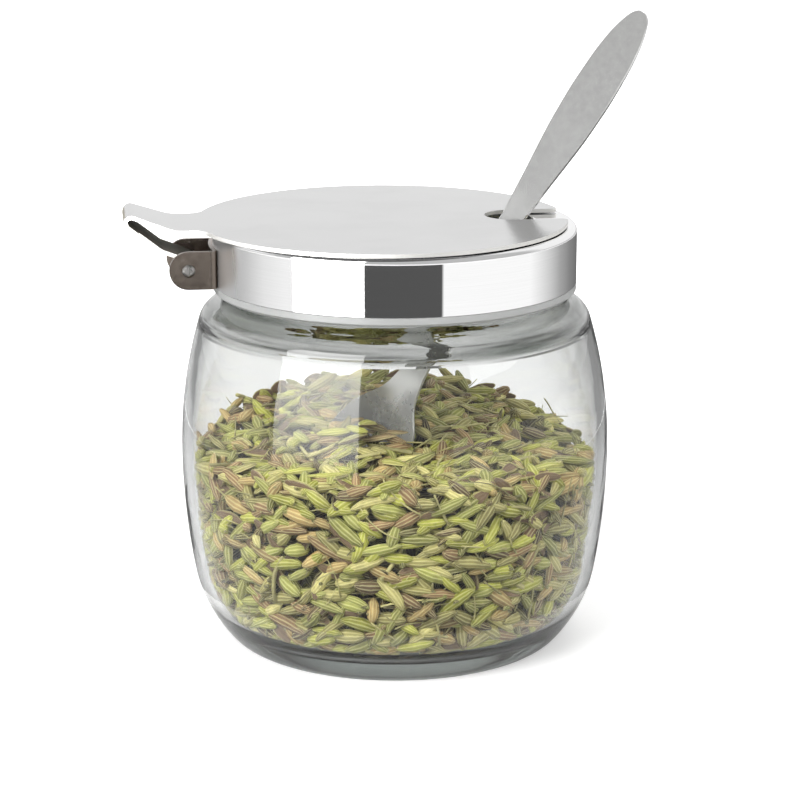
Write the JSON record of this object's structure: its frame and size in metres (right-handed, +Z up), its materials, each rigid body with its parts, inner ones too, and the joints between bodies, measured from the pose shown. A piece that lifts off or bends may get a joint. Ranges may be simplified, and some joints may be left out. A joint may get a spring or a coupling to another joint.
{
  "type": "spice jar",
  "caption": "Barrel-shaped glass spice jar with a steel screw collar, a hinged steel lid with a thumb lever and a spoon slot, and a spoon standing in fennel seeds.",
  "frame": {"origin": "centre of the standing ring on the jar's axis, on the surface that the jar stands on", "axes": "+Z up along the jar's axis, +X from the hinge towards the spoon slot, -Y towards the side the picture shows"},
  "size_m": [0.0968, 0.08, 0.1174],
  "materials": {
    "glass": "clear gloss",
    "seeds": "matt, ribbed seeds",
    "silicone": "soft matt",
    "milky_plastic": "milky, semi-gloss",
    "polished_steel": "mirror polish",
    "satin_steel": "fine satin",
    "bracket_steel": "plain rolled sheet",
    "spoon_steel": "polished, slightly satin"
  },
  "bodies": {
    "jar": {"glass_jar": "glass", "fennel_seeds": "seeds"},
    "collar_set": {"collar": "polished_steel", "thread_liner": "milky_plastic", "sealing_ring": "silicone", "hinge_bracket": "bracket_steel", "hinge_pin": "bracket_steel"},
    "lid_body": {"lid": "satin_steel"},
    "spoon_body": {"spoon": "spoon_steel"}
  },
  "joints": [
    {"name": "collar_lift", "type": "slide", "parent": "jar", "child": "collar_set", "axis": [0, 0, 1], "range_m": [0, 0.012]},
    {"name": "lid_hinge", "type": "hinge", "parent": "collar_set", "child": "lid_body", "pos_m": [-0.03845, 0, 0.0722], "axis": [0, -1, 0], "range_deg": [0, 120]},
    {"name": "spoon_slide", "type": "slide", "parent": "collar_set", "child": "spoon_body", "axis": [0.5344, 0, 0.8453], "range_m": [0, 0.03]}
  ]
}
